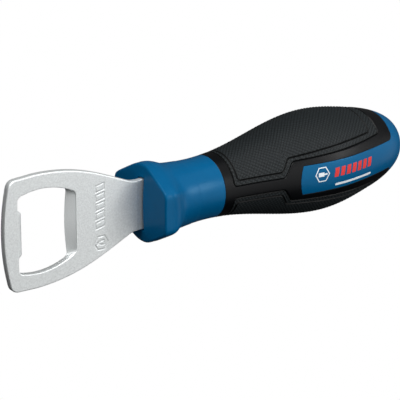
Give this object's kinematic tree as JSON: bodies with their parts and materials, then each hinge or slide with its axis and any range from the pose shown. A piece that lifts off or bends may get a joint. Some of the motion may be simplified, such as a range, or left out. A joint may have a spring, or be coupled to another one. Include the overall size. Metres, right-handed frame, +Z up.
{
  "type": "bottle opener",
  "caption": "Bottle opener with a flat stamped steel blade, a crown cap window with a lip, and a two-tone screwdriver-style soft grip handle.",
  "frame": {"origin": "on the floor plane, under the middle of the bounding box, with the opener lying flat", "axes": "+X along the handle towards its rear end, with the blade's tip at -X; +Y across the blade; +Z up, along the blade's normal, on the printed side"},
  "size_m": [0.174, 0.04, 0.0381],
  "materials": {
    "steel": "tumbled satin, bright rounded edges",
    "blue_plastic": "satin moulded hard plastic, dark blue",
    "soft_grip": "smooth satin soft plastic, black",
    "textured_grip": "matte soft plastic with a fine diamond pattern, black",
    "white_ink": "printed ink",
    "red_ink": "printed ink"
  },
  "bodies": {
    "root": {"opener_blade": "steel", "handle_core": "blue_plastic", "grip_sleeve": "soft_grip", "grip_pad_left": "textured_grip", "grip_pad_right": "textured_grip", "badge_print": "white_ink", "stripe_print": "red_ink", "line_print": "white_ink"}
  },
  "joints": []
}
